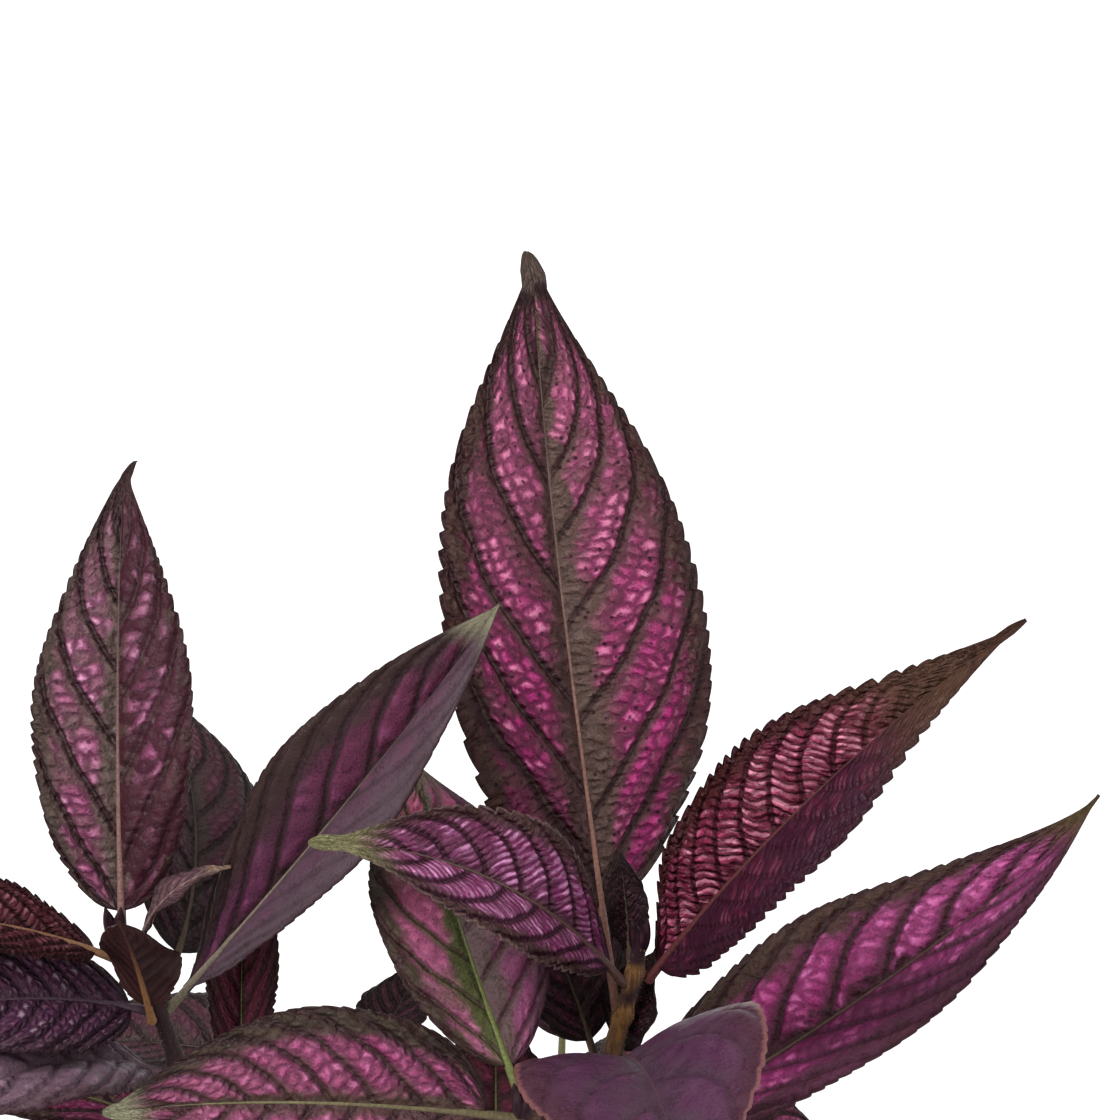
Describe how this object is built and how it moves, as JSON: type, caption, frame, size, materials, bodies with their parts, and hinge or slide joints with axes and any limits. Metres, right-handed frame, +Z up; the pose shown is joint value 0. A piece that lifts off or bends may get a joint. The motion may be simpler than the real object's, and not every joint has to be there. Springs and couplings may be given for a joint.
{
  "type": "potted persian shield plant",
  "caption": "Bushy potted foliage plant with toothed, pointed purple leaves in pairs on upright stems, in a plain round pot of soil.",
  "frame": {"origin": "middle of the pot's flat underside, on the surface it stands on", "axes": "+Z up, the pot's axis; +X to the right and -Y to the viewer in the picture's view"},
  "size_m": [0.3468, 0.2931, 0.387],
  "materials": {
    "leaf": "satin, puckered, purple with dark green-brown veins",
    "stem": "matte, tan to green, finely hairy",
    "soil": "matte, crumbly",
    "pot": "matte"
  },
  "bodies": {
    "root": {"leaf_back_left_1": "leaf", "leaf_back_left_2a": "leaf", "leaf_back_left_2b": "leaf", "leaf_back_left_3a": "leaf", "leaf_back_left_3b": "leaf", "leaf_back_left_3c": "leaf", "leaf_back_right_1": "leaf", "leaf_back_right_2a": "leaf", "leaf_back_right_2b": "leaf", "leaf_back_right_3a": "leaf", "leaf_back_right_3b": "leaf", "leaf_front_1a": "leaf", "leaf_front_1b": "leaf", "leaf_front_2a": "leaf", "leaf_front_2b": "leaf", "leaf_front_2c": "leaf", "leaf_front_3a": "leaf", "leaf_front_3b": "leaf", "leaf_left_1": "leaf", "leaf_left_2a": "leaf", "leaf_left_2b": "leaf", "leaf_left_2c": "leaf", "leaf_left_3a": "leaf", "leaf_left_4a": "leaf", "leaf_left_4b": "leaf", "leaf_left_4c": "leaf", "leaf_left_4d": "leaf", "leaf_left_5a": "leaf", "leaf_left_5b": "leaf", "leaf_left_5c": "leaf", "leaf_right_1": "leaf", "leaf_right_2a": "leaf", "leaf_right_2b": "leaf", "leaf_right_3": "leaf", "leaf_right_3b": "leaf", "leaf_right_4a": "leaf", "leaf_right_4b": "leaf", "leaf_right_5a": "leaf", "leaf_right_5b": "leaf", "leaf_right_5c": "leaf", "pot": "pot", "soil": "soil", "stem_back_left": "stem", "stem_back_right": "stem", "stem_front": "stem", "stem_left": "stem", "stem_right": "stem"}
  },
  "joints": []
}
